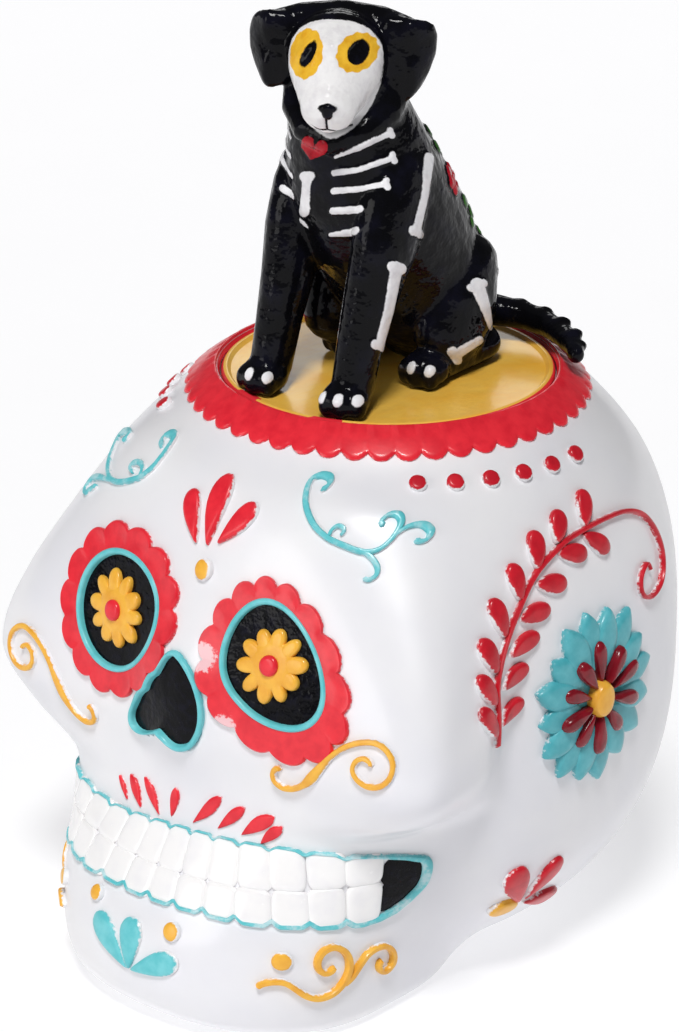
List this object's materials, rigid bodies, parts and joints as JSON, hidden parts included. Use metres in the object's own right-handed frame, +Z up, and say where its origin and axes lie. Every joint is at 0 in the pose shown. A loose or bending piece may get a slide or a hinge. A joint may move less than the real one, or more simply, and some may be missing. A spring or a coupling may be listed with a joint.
{
  "type": "lidded skull jar",
  "caption": "Hollow glazed ceramic jar shaped as a painted sugar skull, with a lift-off lid that carries a seated dog painted as a skeleton.",
  "frame": {"origin": "on the ground plane under the lid's axis", "axes": "+Z up along the lid's axis, -Y the way the skull faces, +X the skull's left"},
  "size_m": [0.1836, 0.2061, 0.2977],
  "materials": {
    "white_glaze": "gloss white glaze with raised ornaments painted red, teal, yellow and black",
    "black_glaze": "gloss black glaze with white painted bones, on an amber yellow plate"
  },
  "bodies": {
    "root": {"skull_jar": "white_glaze", "dog_lid": "black_glaze"}
  },
  "joints": []
}
